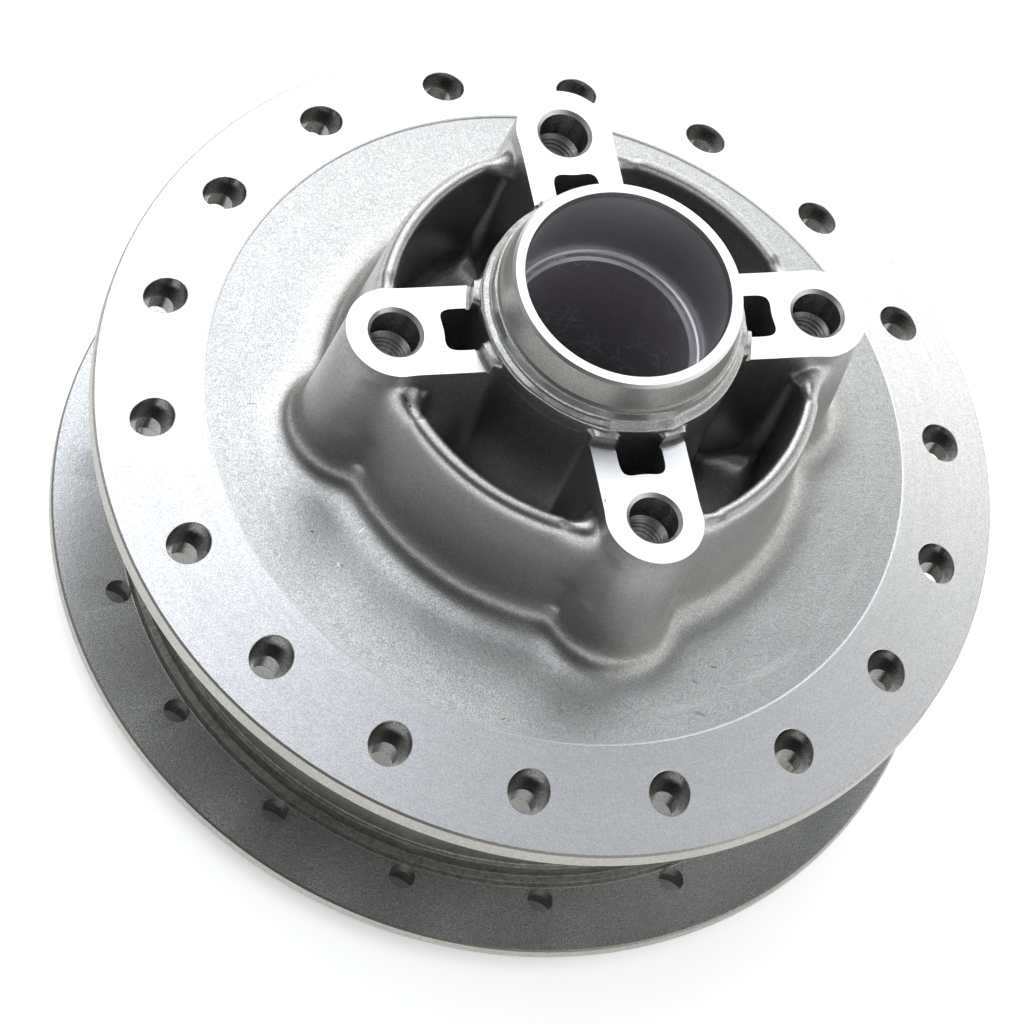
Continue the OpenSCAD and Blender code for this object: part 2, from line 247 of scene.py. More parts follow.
class Graph:
    """Short calls for the nodes of one material or group."""

    def __init__(self, tree: bpy.types.NodeTree) -> None:
        """Keeps the tree that the nodes go into."""
        self.tree = tree

    def node(self, kind: str, **values: object) -> bpy.types.Node:
        """Adds a node and sets its properties."""
        made = self.tree.nodes.new(kind)
        for key, value in values.items():
            setattr(made, key, value)
        return made

    def put(self, socket: bpy.types.NodeSocket, value: object) -> None:
        """Links a socket or sets a constant on an input."""
        if isinstance(value, bpy.types.NodeSocket):
            self.tree.links.new(value, socket)
        else:
            socket.default_value = value

    def math(self, operation: str, *values: object, clamp: bool = False) -> bpy.types.NodeSocket:
        """Adds a Math node and returns its output."""
        made = self.node("ShaderNodeMath", operation=operation, use_clamp=clamp)
        for socket, value in zip(made.inputs, values):
            self.put(socket, value)
        return made.outputs[0]

    def step(self, value: object, low: float, high: float, out_low: float = 0.0,
             out_high: float = 1.0) -> bpy.types.NodeSocket:
        """Maps a value smoothly from one range to another, and clamps it."""
        made = self.node("ShaderNodeMapRange", interpolation_type="SMOOTHSTEP")
        for socket, item in zip(made.inputs, (value, low, high, out_low, out_high)):
            self.put(socket, item)
        return made.outputs[0]

    def mix(self, factor: object, a: object, b: object) -> bpy.types.NodeSocket:
        """Mixes two colours."""
        made = self.node("ShaderNodeMix", data_type="RGBA")
        for index, value in ((0, factor), (MIX_A, a), (MIX_B, b)):
            self.put(made.inputs[index], value)
        return made.outputs[MIX_RESULT]

    def noise(self, vector: object, scale: float, detail: float = 2.0,
              rough: float = 0.5) -> bpy.types.NodeSocket:
        """Adds a Noise texture and returns its value."""
        made = self.node("ShaderNodeTexNoise")
        for name, item in (("Vector", vector), ("Scale", scale), ("Detail", detail), ("Roughness", rough)):
            self.put(made.inputs[name], item)
        return made.outputs["Factor" if "Factor" in made.outputs else "Fac"]

    def group(self, tree: bpy.types.NodeTree, **values: object) -> bpy.types.Node:
        """Places a node group with its own input values."""
        made = self.node("ShaderNodeGroup")
        made.node_tree = tree
        for key, value in values.items():
            self.put(made.inputs[key.replace("_", " ")], value)
        return made


def group_tree(name: str, inputs: dict[str, tuple[str, object]],
               outputs: dict[str, str]) -> tuple[Graph, dict, dict]:
    """Starts a shader node group.

    Args:
        name: The group's name.
        inputs: Each input's socket kind (Float, Vector, Color) and default.
        outputs: Each output's socket kind.

    Returns:
        The graph, the group's inputs as sockets, and its outputs as sockets to feed.
    """
    tree = bpy.data.node_groups.new(name, "ShaderNodeTree")
    for key, (kind, default) in inputs.items():
        socket = tree.interface.new_socket(name=key, in_out="INPUT", socket_type="NodeSocket" + kind)
        socket.default_value = default
    for key, kind in outputs.items():
        tree.interface.new_socket(name=key, in_out="OUTPUT", socket_type="NodeSocket" + kind)
    graph = Graph(tree)
    source, sink = graph.node("NodeGroupInput"), graph.node("NodeGroupOutput")
    return graph, {s.name: s for s in source.outputs if s.name}, {s.name: s for s in sink.inputs if s.name}


class Effects:
    """Node groups that the finishes share. Points are object coordinates in metres."""

    # Texture scales, per metre, and a reach in metres.
    FINE, SOFT, CELLS, RARE = 3400.0, 900.0, 170.0, 60.0
    CLOUD, WEB, WEB_BEND, WEB_PATCH = 30.0, 210.0, 220.0, 70.0
    BEND_REACH = 0.006

    def __init__(self) -> None:
        """Builds each group once."""
        self.polar = self._polar()
        self.grain = self._grain()
        self.rings = self._rings()
        self.stain = self._stain()
        self.veins = self._veins()

    @staticmethod
    def _polar() -> bpy.types.NodeTree:
        """Radius, angle and height of a point round the axle, in mm and turns."""
        g, i, o = group_tree("polar_place", {"Point": ("Vector", (0, 0, 0))},
                             {"Radius": "Float", "Turn": "Float", "Height": "Float"})
        split = g.node("ShaderNodeSeparateXYZ")
        g.put(split.inputs[0], i["Point"])
        x, y, z = (g.math("MULTIPLY", s, 1000.0) for s in split.outputs)
        g.put(o["Radius"], g.math("SQRT", g.math("ADD", g.math("MULTIPLY", x, x), g.math("MULTIPLY", y, y))))
        g.put(o["Turn"], g.math("DIVIDE", g.math("ARCTAN2", y, x), math.tau))
        g.put(o["Height"], z)
        return g.tree

    @staticmethod
    def _grain() -> bpy.types.NodeTree:
        """Shot-blast grain with a few dents."""
        g, i, o = group_tree("blast_grain", {"Point": ("Vector", (0, 0, 0)), "Dents": ("Float", 0.3)},
                             {"Height": "Float", "Tone": "Float"})
        fine = g.noise(i["Point"], Effects.FINE, 2.0, 0.6)
        soft = g.noise(i["Point"], Effects.SOFT, 2.0, 0.5)
        cells = g.node("ShaderNodeTexVoronoi", feature="F1")
        g.put(cells.inputs["Vector"], i["Point"])
        g.put(cells.inputs["Scale"], Effects.CELLS)
        dent = g.step(cells.outputs["Distance"], 0.05, 0.22, -1.0, 0.0)
        rare = g.step(g.noise(i["Point"], Effects.RARE, 1.0), 0.56, 0.66)
        rough = g.math("ADD", g.math("MULTIPLY", fine, 0.4), g.math("MULTIPLY", soft, 0.25))
        pits = g.math("MULTIPLY", g.math("MULTIPLY", dent, rare), i["Dents"])
        g.put(o["Height"], g.math("ADD", rough, pits))
        cloud = g.math("MULTIPLY", g.step(soft, 0.3, 0.7), 0.2)
        crisp = g.math("MULTIPLY_ADD", g.step(fine, 0.36, 0.64), 0.8, cloud)
        nick = g.math("MULTIPLY", g.step(cells.outputs["Distance"], 0.05, 0.12, 1.0, 0.0), rare)
        nicks = g.math("MULTIPLY", nick, g.math("MULTIPLY", i["Dents"], 2.0))
        g.put(o["Tone"], g.math("SUBTRACT", crisp, nicks))
        return g.tree

    @staticmethod
    def _rings() -> bpy.types.NodeTree:
        """Fine marks that run round the axle, from a tool or a lathe."""
        inputs = {"Along": ("Float", 0.0), "Turn": ("Float", 0.0), "Pitch": ("Float", 3.0),
                  "Streaks": ("Float", 14.0)}
        g, i, o = group_tree("turning_marks", inputs, {"Height": "Float", "Tone": "Float"})
        merge = g.node("ShaderNodeCombineXYZ")
        g.put(merge.inputs[0], g.math("MULTIPLY", i["Along"], i["Pitch"]))
        g.put(merge.inputs[1], g.math("MULTIPLY", i["Turn"], i["Streaks"]))
        fine = g.noise(merge.outputs[0], 1.0, 2.0, 0.6)
        wide = g.node("ShaderNodeCombineXYZ")
        g.put(wide.inputs[0], g.math("MULTIPLY", i["Along"], 0.35))
        g.put(wide.inputs[1], g.math("MULTIPLY", i["Turn"], 3.0))
        g.put(o["Height"], fine)
        bands = g.math("MULTIPLY", g.noise(wide.outputs[0], 1.0), 0.4)
        g.put(o["Tone"], g.math("ADD", g.math("MULTIPLY", fine, 0.6), bands))
        return g.tree

    @staticmethod
    def _stain() -> bpy.types.NodeTree:
        """Soft cloudy patches."""
        g, i, o = group_tree("cloudy_stain", {"Point": ("Vector", (0, 0, 0)), "Amount": ("Float", 0.5)},
                             {"Mask": "Float"})
        big = g.noise(i["Point"], Effects.CLOUD, 4.0, 0.6)
        g.put(o["Mask"], g.math("MULTIPLY", g.step(big, 0.38, 0.72), i["Amount"]))
        return g.tree

    @staticmethod
    def _veins() -> bpy.types.NodeTree:
        """Fine web-like lines, thick in some patches and gone in others."""
        g, i, o = group_tree("web_veins", {"Point": ("Vector", (0, 0, 0))}, {"Mask": "Float"})
        bend = g.node("ShaderNodeTexNoise")
        g.put(bend.inputs["Vector"], i["Point"])
        g.put(bend.inputs["Scale"], Effects.WEB_BEND)
        moved = g.node("ShaderNodeVectorMath", operation="MULTIPLY_ADD")
        g.put(moved.inputs[0], bend.outputs["Color"])
        g.put(moved.inputs[1], (Effects.BEND_REACH,) * 3)
        g.put(moved.inputs[2], i["Point"])
        cells = g.node("ShaderNodeTexVoronoi", feature="DISTANCE_TO_EDGE")
        g.put(cells.inputs["Vector"], moved.outputs["Vector"])
        g.put(cells.inputs["Scale"], Effects.WEB)
        line = g.step(cells.outputs["Distance"], 0.01, 0.07, 1.0, 0.0)
        patches = g.step(g.noise(i["Point"], Effects.WEB_PATCH, 2.0), 0.46, 0.62, 0.0, 0.8)
        g.put(o["Mask"], g.math("MULTIPLY", line, patches))
        return g.tree


@dataclass(frozen=True)
class Mark:
    """A small flaw that the photo shows, as a short line on one surface, in mm."""

    skin: Skin
    start: Corner
    end: Corner
    reach: float
    colour: Colour
    strength: float = 0.85

    def mask(self, g: Graph, place: bpy.types.NodeSocket) -> bpy.types.NodeSocket:
        """Gives the mark's strength at a point.

        Args:
            g: The material's graph.
            place: Object coordinates.

        Returns:
            A socket that is 0 away from the mark.
        """
        a, b = Vector(self.start) * MM, Vector(self.end) * MM
        side = self.reach * MM
        local = g.node("ShaderNodeMapping", vector_type="TEXTURE")
        g.put(local.inputs["Vector"], place)
        g.put(local.inputs["Location"], (a + b) / 2)
        g.put(local.inputs["Rotation"], (b - a).to_track_quat("X", "Z").to_euler())
        g.put(local.inputs["Scale"], ((b - a).length / 2 + side, side, 3 * side))
        away = g.node("ShaderNodeVectorMath", operation="LENGTH")
        g.put(away.inputs[0], local.outputs[0])
        return g.step(away.outputs["Value"], 0.55, 1.0, self.strength, 0.0)


DARK: Colour = (0.02, 0.018, 0.02)
PALE: Colour = (0.95, 0.95, 0.95)
RUST: Colour = (0.45, 0.14, 0.03)
POCKET_SHADE: Colour = (0.23, 0.215, 0.22)
RESIDUE: Colour = (0.11, 0.095, 0.055)
VEIN: Colour = (0.62, 0.61, 0.62)
# Painted shade: cast faces inside these radii are darkened more the deeper they lie between these heights.
POCKET_R, POCKET_Z, WEB_Z = (45.6, 46.8), (60.0, 104.0), (57.0, 58.5)  # where the pockets darken, in mm
RING_DEPTH, GRAIN_DEPTH = 0.00004, 0.00018  # of the bump, in metres

MARKS = (
    Mark(Skin.CAST, (-45.7, -10.2, 101.0), (-44.2, -11.7, 97.9), 0.16, DARK),
    Mark(Skin.CAST, (-44.2, -11.7, 97.9), (-43.6, -12.7, 97.3), 0.18, DARK),
    Mark(Skin.CAST, (-44.6, -11.6, 98.2), (-44.7, -11.8, 98.0), 0.28, DARK, 0.7),
    Mark(Skin.CAST, (-43.1, -13.4, 97.1), (-43.2, -13.6, 97.0), 0.3, DARK),
    Mark(Skin.CAST, (-43.1, -14.3, 96.6), (-42.8, -14.9, 96.2), 0.24, DARK, 0.7),
    Mark(Skin.CAST, (-48.4, -24.3, 64.2), (-46.4, -23.0, 65.1), 0.16, PALE),
    Mark(Skin.CAST, (-53.4, -30.4, 63.4), (-52.9, -31.0, 63.4), 0.4, PALE),
    Mark(Skin.CAST, (-53.0, -30.6, 63.4), (-52.5, -31.2, 63.4), 0.3, DARK, 0.6),
    Mark(Skin.CAST, (-57.6, -22.6, 63.4), (-57.2, -22.8, 63.4), 0.28, DARK, 0.7),
    Mark(Skin.CAST, (-65.4, 7.9, 63.1), (-63.6, 7.5, 63.2), 0.18, DARK, 0.6),
    Mark(Skin.CAST, (20.2, -58.7, 63.4), (22.0, -59.2, 63.3), 0.22, DARK, 0.6),
    Mark(Skin.CAST, (15.9, -61.5, 63.3), (17.0, -62.5, 63.2), 0.2, DARK, 0.6),
    Mark(Skin.CAST, (14.9, -68.6, 62.9), (17.3, -69.6, 62.8), 0.5, DARK, 0.3),
    Mark(Skin.CAST, (-7.0, -71.5, 62.8), (-7.3, -73.3, 62.7), 0.13, DARK, 0.6),
    Mark(Skin.CAST, (-26.1, -67.4, 62.7), (-25.0, -67.1, 62.8), 0.22, RUST),
    Mark(Skin.MILLED, (-9.4, -40.1, 103.3), (-9.6, -40.8, 103.3), 0.2, RUST),
)


@dataclass(frozen=True)
class Finish:
    """One metal surface: its tones, gloss and marks, and on the cast finish painted shade in the pockets."""

    skin: Skin
    dark: Colour
    light: Colour
    rough: tuple[float, float] = (0.35, 0.5)
    grain: float = 0.0
    rings: float = 0.0
    pitch: float = 3.0
    streaks: float = 14.0
    along: str = "Radius"
    stain: float = 0.3
    metallic: float = 1.0
    residue: tuple[float, float] = (0.0, 0.0)
    veins: bool = False
    # Paints shade into the pockets, darker with depth.
    painted_pocket_shade: bool = False

    def layers(self, g: Graph, fx: Effects, place: bpy.types.NodeSocket,
               polar: bpy.types.NodeOutputs) -> Iterator[tuple[bpy.types.NodeSocket, Colour]]:
        """Gives the painted pocket shade and the colours that lie over the metal, from the lowest to the top
        one.

        Args:
            g: The material's graph.
            fx: The shared node groups.
            place: Object coordinates.
            polar: Outputs of the polar group.

        Yields:
            A mask and its colour.
        """
        height = polar["Height"]
        # Painted shade: cast faces inside the shell get darker the deeper they lie, up to 40 per cent of
        # POCKET_SHADE.
        if self.painted_pocket_shade:
            within = g.step(polar["Radius"], *POCKET_R, 1.0, 0.0)
            deep = g.math("MULTIPLY", g.step(height, *POCKET_Z, 1.0, 0.0), within)
            above_web = g.step(height, *WEB_Z)
            yield g.math("MULTIPLY", g.math("MULTIPLY", deep, above_web), 0.4), POCKET_SHADE
        if self.residue[1] > 0:
            low = g.step(height, self.residue[0], self.residue[1], 1.0, 0.0)
            specks = g.step(g.noise(place, 900.0, 3.0, 0.7), 0.42, 0.62)
            yield g.math("MULTIPLY", low, g.math("MULTIPLY_ADD", specks, 0.35, 0.25)), RESIDUE
        if self.veins:
            yield g.group(fx.veins, Point=place).outputs["Mask"], VEIN
        for mark in MARKS:
            if mark.skin is self.skin:
                yield mark.mask(g, place), mark.colour

    def build(self, fx: Effects) -> bpy.types.Material:
        """Makes the material.

        Args:
            fx: The shared node groups.

        Returns:
            A material on object coordinates.
        """
        mat = bpy.data.materials.new(self.skin.value)
        mat.use_nodes = True
        mat.node_tree.nodes.clear()
        g = Graph(mat.node_tree)
        out = g.node("ShaderNodeOutputMaterial")
        shader = g.node("ShaderNodeBsdfPrincipled")
        g.put(out.inputs["Surface"], shader.outputs[0])
        place = g.node("ShaderNodeTexCoord").outputs["Object"]
        polar = g.group(fx.polar, Point=place)
        grain = g.group(fx.grain, Point=place)
        rings = g.group(fx.rings, Along=polar.outputs[self.along], Turn=polar.outputs["Turn"],
                        Pitch=self.pitch, Streaks=self.streaks)
        stain = g.group(fx.stain, Point=place, Amount=self.stain)
        tone = g.step(rings.outputs["Tone"], 0.3, 0.7)
        if self.grain > 0:
            tone = g.math("MULTIPLY_ADD", g.math("SUBTRACT", tone, 0.5), self.rings, grain.outputs["Tone"])
        shade = g.math("SUBTRACT", tone, stain.outputs["Mask"], clamp=True)
        colour = g.mix(shade, (*self.dark, 1.0), (*self.light, 1.0))
        for mask, tint in self.layers(g, fx, place, polar.outputs):
            colour = g.mix(mask, colour, (*tint, 1.0))
        g.put(shader.inputs["Base Color"], colour)
        g.put(shader.inputs["Roughness"], g.step(shade, 0.0, 1.0, self.rough[1], self.rough[0]))
        g.put(shader.inputs["Metallic"], self.metallic)
        normal = None
        for amount, source, depth in ((self.rings, rings, RING_DEPTH), (self.grain, grain, GRAIN_DEPTH)):
            if amount > 0:
                bump = g.node("ShaderNodeBump")
                g.put(bump.inputs["Strength"], amount)
                g.put(bump.inputs["Distance"], depth)
                g.put(bump.inputs["Height"], source.outputs["Height"])
                if normal is not None:
                    g.put(bump.inputs["Normal"], normal)
                normal = bump.outputs[0]
        if normal is not None:
            g.put(shader.inputs["Normal"], normal)
        return mat


FINISHES = (
    # The cast finish has painted shade in its pockets.
    Finish(Skin.CAST, (0.39, 0.39, 0.38), (0.66, 0.66, 0.645), (0.29, 0.37), grain=0.5, stain=0.06,
           metallic=0.95, painted_pocket_shade=True),
    Finish(Skin.MILLED, (0.84, 0.845, 0.85), (0.95, 0.955, 0.96), (0.3, 0.38), rings=0.2, pitch=6.0,
           stain=0.05),
    Finish(Skin.BOSS, (0.33, 0.33, 0.305), (0.50, 0.50, 0.47), (0.36, 0.46), rings=0.25, grain=0.4,
           pitch=4.0, stain=0.1, along="Height"),
    Finish(Skin.SEAT, (0.66, 0.665, 0.69), (0.80, 0.805, 0.83), (0.3, 0.38), rings=0.12, pitch=5.0,
           along="Height", metallic=0.85),
    Finish(Skin.PASSAGE, (0.34, 0.31, 0.33), (0.46, 0.43, 0.45), (0.4, 0.55), grain=0.2, rings=0.3,
           pitch=1.6, along="Height", metallic=0.3, veins=True),
    Finish(Skin.HOLE, (0.21, 0.205, 0.195), (0.37, 0.36, 0.345), (0.2, 0.3), grain=0.06),
    Finish(Skin.THREAD, (0.36, 0.35, 0.34), (0.60, 0.59, 0.57), (0.25, 0.35)),
    Finish(Skin.FLANGE, (0.65, 0.655, 0.66), (0.90, 0.905, 0.91), (0.43, 0.5), rings=0.25, streaks=60.0,
           grain=0.4, stain=0.05),
    Finish(Skin.LOWER, (0.38, 0.385, 0.39), (0.56, 0.565, 0.57), (0.24, 0.32), rings=0.1, streaks=60.0,
           grain=0.4, stain=0.05),
    Finish(Skin.RIM, (0.39, 0.38, 0.35), (0.56, 0.55, 0.51), (0.3, 0.42), grain=0.3),
    Finish(Skin.BARREL, (0.36, 0.36, 0.34), (0.54, 0.54, 0.52), (0.4, 0.55), rings=0.3, grain=0.2,
           along="Height", residue=(17.0, 24.0)),
    Finish(Skin.TRACK, (0.30, 0.30, 0.30), (0.44, 0.44, 0.44), (0.3, 0.42), rings=0.5, along="Height"),
)


class Paint:
    """Gives each face of a piece the material of its surface."""

    def __init__(self) -> None:
        """Builds all the finishes."""
        fx = Effects()
        self.materials = {finish.skin: finish.build(fx) for finish in FINISHES}

    def dress(self, obj: bpy.types.Object, rule: Callable[[float, float, Vector, Vector], Skin]) -> None:
        """Paints a piece.

        Args:
            obj: The piece.
            rule: Names the surface from a face's radius and height in mm, its centre in mm and its normal.
        """
        slots: dict[Skin, int] = {}
        obj.data.materials.clear()
        for face in obj.data.polygons:
            c = face.center * 1000
            skin = rule(math.hypot(c.x, c.y), c.z, c, face.normal)
            if skin not in slots:
                slots[skin] = len(slots)
                obj.data.materials.append(self.materials[skin])
            face.material_index = slots[skin]


# The hub's pieces

@dataclass(frozen=True)
class Zone:
    """A part of the casting that is smoothed more than the rest, in mm, and in degrees from an arm."""

    radius: Point
    height: Point
    passes: int
    side: Point = (-1.0, 360.0)

    def holds(self, p: Vector) -> bool:
        """Tells whether a point in mm lies in the zone."""
        spans = ((self.radius, math.hypot(p.x, p.y)), (self.height, p.z), (self.side, from_arm(p)))
        return all(low < value < high for (low, high), value in spans)


SHELL_FOOT = Zone((46, 64), (59, 71), 45)
LIP = Zone((43, 51), (88, 99), 6)
LIP_ENDS = Zone((42, 54), (80, 98.5), 40, (8, 22))


@dataclass
class Sizes:
    """Sizes that the pieces share, in mm and degrees, as in the solid."""

    spoke_r: float = 85.0
    flange_r: float = 96.45
    spoke_count: int = 18
    spoke_turn: float = -5.2
    slope: float = 18.5
    inner_slope: float = 4.0
    spoke_plane: float = 59.5
    upper_side: float = 4.4
    lower_side: float = 3.1
    lower_edge: float = 7.9
    bevel: float = 0.4
    seat_r: float = 4.4
    seat_depth: float = 4.7
    spoke_hole_r: float = 2.7
    turned_r: float = 75.0
    split_z: float = 60.0
    disc_rim_z: float = 62.596
    disc_slope: float = 0.0625
    stud_r: float = 45.0
    arm_height: float = 103.3
    hub_height: float = 118.5
    bearing_r: float = 21.0
    passage_r: float = 18.8
    upper_shoulder: float = 97.0
    mouth_depth: float = 1.3
    middle_z: float = 40.0

    @property
    def core_r(self) -> float:
        """Radius at which the cast core meets the turned outside."""
        return self.turned_r - 0.5

    def cone_z(self, r: float) -> float:
        """Height of the upper flange's turned face."""
        return self.spoke_plane - (r - self.spoke_r) * math.tan(math.radians(self.slope))

    def lower_cone_z(self, r: float) -> float:
        """Height of the lower flange's turned face."""
        return self.lower_edge - (self.flange_r - r) * math.tan(math.radians(self.slope))

    def inner_rise(self, r: float) -> float:
        """How far a flange's inner face has sloped from its edge to a radius."""
        return (self.flange_r - r) * math.tan(math.radians(self.inner_slope))

    def upper_face_z(self, r: float) -> float:
        """Height of the upper flange's inner face."""
        return self.cone_z(self.flange_r) - self.upper_side - self.inner_rise(r)

    def lower_face_z(self, r: float) -> float:
        """Height of the lower flange's inner face."""
        return self.lower_edge + self.lower_side + self.inner_rise(r)


@dataclass
class DrumAndFlanges:
    """The turned outside: both spoke flanges, the barrel, and the brake drum under the web."""

    sizes: Sizes
    barrel_r: float = 79.8
    barrel_fillet: float = 3.0
    foot_top: float = 17.6
    foot_ledge: float = 0.7
    collar_width: float = 1.5
    collar_rise: float = 1.4
    burr_height: float = 0.35
    burr_width: float = 0.5
    disc_step: float = 0.25
    track_r: float = 70.0
    track_depth: float = 44.0
    track_step: float = 1.5
    web_under: float = 55.7
    drum_fillet: float = 7.0
    mouth_r: float = 78.5
    mouth_bevel: float = 1.0
    boss_r: float = 29.0
    boss_face: float = 24.0
    boss_bevel: float = 1.2
    shoulder: float = 38.0
    foot_fillet: float = 6.0
    shear_width: float = 0.32
    lower_from_r: float = 82.4
    lower_top_z: float = 14.0
    upper_from_z: float = 51.0

    def profile(self) -> list[Point]:
        """Half section of the piece, from the split outwards and round."""
        s = self.sizes
        foot_r = self.barrel_r + self.foot_ledge
        bead_r = foot_r + self.collar_width
        bead_top = s.lower_face_z(self.barrel_r) + self.collar_rise
        edge = s.flange_r - s.bevel
        burr_r, burr_z = s.turned_r - self.burr_width, s.cone_z(s.turned_r)
        boss_foot_r = self.boss_r + (self.web_under - self.boss_face) * math.tan(math.radians(3.4)) / 2
        step_r = self.track_r - self.track_step
        return rounded([
            (s.passage_r, s.split_z, 0),
            (burr_r, s.split_z, 0),
            (burr_r, burr_z - self.disc_step, 0),
            (s.turned_r - self.burr_width * 0.72, burr_z + self.burr_height * 0.35, 0.05),
            (s.turned_r - self.burr_width * 0.5, burr_z - self.burr_height * 0.3, 0.05),
            (s.turned_r - self.burr_width * 0.22, burr_z + self.burr_height * 0.6, 0.06),
            (s.turned_r, burr_z, 0),
            (edge, s.cone_z(edge), 0),
            (s.flange_r, s.cone_z(s.flange_r) - s.bevel, 0),
            (s.flange_r, s.upper_face_z(s.flange_r) + s.bevel, 0),
            (edge, s.upper_face_z(s.flange_r), 0),
            (self.barrel_r, s.upper_face_z(self.barrel_r), self.barrel_fillet),
            (self.barrel_r, self.foot_top, 0.7),
            (foot_r, self.foot_top - 0.3, 0.3),
            (foot_r, bead_top + 0.3, 0.3),
            (bead_r, bead_top, 0.3),
            (bead_r + 0.3, s.lower_face_z(bead_r), 0.3),
            (edge, s.lower_face_z(s.flange_r), 0),
            (s.flange_r, s.lower_face_z(s.flange_r) - s.bevel, 0),
            (s.flange_r, s.lower_edge + s.bevel, 0),
            (edge, s.lower_edge, 0),
            (self.mouth_r, s.lower_cone_z(self.mouth_r), 0.7),
            (self.mouth_r, self.mouth_bevel, 0),
            (self.mouth_r - self.mouth_bevel, 0, 0),
            (self.track_r + self.mouth_bevel, 0, 0),
            (self.track_r, self.mouth_bevel, 0),
            (self.track_r, self.track_depth, 0),
            (step_r, self.track_depth + self.track_step / 2, 0),
            (step_r, self.web_under, self.drum_fillet),
            (boss_foot_r, self.web_under, self.foot_fillet),
            (self.boss_r, self.boss_face + self.boss_bevel, 0),
            (self.boss_r - self.boss_bevel, self.boss_face, 0),
            (s.bearing_r + 0.45, self.boss_face, 0),
            (s.bearing_r, self.boss_face + s.mouth_depth, 0),
            (s.bearing_r, self.shoulder, 0.8),
            (s.passage_r + 0.6, self.shoulder, 0),
            (s.passage_r, self.shoulder + 0.6, 0),
        ])

    def hole(self, turn: float, inner: float, seat: float, outer: float) -> bmesh.types.BMesh:
        """One spoke hole with its seat, as a cutter.

        Args:
            turn: Angle round the axle, in degrees.
            inner: Height past the flange's inner face.
            seat: Height of the seat's floor.
            outer: Height past the turned face.

        Returns:
            The cutter.
        """
        s = self.sizes
        upper = outer > seat
        mouth = [(s.seat_r, outer)]
        if upper:
            half, wide_r = self.shear_width / 2, s.seat_r + self.shear_width
            mouth = [(s.seat_r, s.spoke_plane - half), (wide_r, s.spoke_plane + half), (wide_r, outer)]
        points = [(0.0, inner), (s.spoke_hole_r, inner), (s.spoke_hole_r, seat), (s.seat_r, seat), *mouth,
                  (0.0, outer)]
        bm = revolve(points, (s.spoke_r, 0.0), 40)
        for vert in bm.verts:
            if upper and vert.co.z > (seat + 1) * MM:
                vert.co.z -= (vert.co.x - s.spoke_r * MM) * math.tan(math.radians(s.slope))
        return turned(bm, turn)

    def build(self, paint: Paint) -> bpy.types.Object:
        """Spins the piece, drills both flanges and paints it."""
        s = self.sizes
        obj = as_object(revolve(self.profile(), segments=240), "drum_and_flanges")
        pitch = 360 / s.spoke_count
        tools = []
        for i in range(s.spoke_count):
            tools.append(self.hole(s.spoke_turn + i * pitch, s.upper_face_z(s.spoke_r) - 2,
                                   s.spoke_plane - s.seat_depth, s.spoke_plane + 3))
            tools.append(self.hole(s.spoke_turn + (i + 0.5) * pitch, s.lower_face_z(s.spoke_r) + 2,
                                   s.lower_cone_z(s.spoke_r) + s.seat_depth, s.lower_cone_z(s.spoke_r) - 3))
        cut(obj, joined(tools))
        smooth_by_angle(obj, 30)
        paint.dress(obj, self.skin)
        return obj

    def skin(self, r: float, z: float, centre: Vector, normal: Vector) -> Skin:
        """Names the surface of a face."""
        s = self.sizes
        upper = z > s.middle_z
        if (upper or z < s.middle_z / 2) and abs(r - s.spoke_r) < s.seat_r + 0.4:
            pitch = math.radians(360 / s.spoke_count)
            first = math.radians(s.spoke_turn) + (0.0 if upper else 0.5) * pitch
            off = (math.atan2(centre.y, centre.x) - first + pitch / 2) % pitch - pitch / 2
            away = math.hypot(r - s.spoke_r, off * s.spoke_r)
            floor = s.spoke_plane - s.seat_depth if upper else s.lower_cone_z(s.spoke_r) + s.seat_depth
            reach = s.spoke_hole_r if not upper and z > floor + 0.1 else s.seat_r
            if away < reach + 0.1 and (abs(normal.z) < 0.5 or abs(z - floor) < 0.05):
                return Skin.HOLE
            if upper and 0.2 < normal.z < 0.9 and away < s.seat_r + 0.35:
                return Skin.MILLED
        if r < s.passage_r + 0.3:
            return Skin.PASSAGE
        if r < s.bearing_r + 0.6 and not upper:
            return Skin.SEAT
        if r > s.flange_r - 0.3:
            return Skin.RIM
        if r > self.lower_from_r and z < self.lower_top_z:
            return Skin.LOWER
        if r > self.barrel_r - 0.8 and 10 < z < self.upper_from_z + 0.5:
            return Skin.BARREL
        if z > self.upper_from_z and r > s.turned_r:
            return Skin.FLANGE
        if z > self.upper_from_z:
            return Skin.MILLED if r > s.turned_r - 0.6 and z > s.disc_rim_z - 0.6 else Skin.CAST
        if abs(r - self.track_r) < 0.3 or z < self.mouth_bevel + 0.2:
            return Skin.TRACK
        return Skin.LOWER if z < s.lower_edge + 0.1 else Skin.CAST


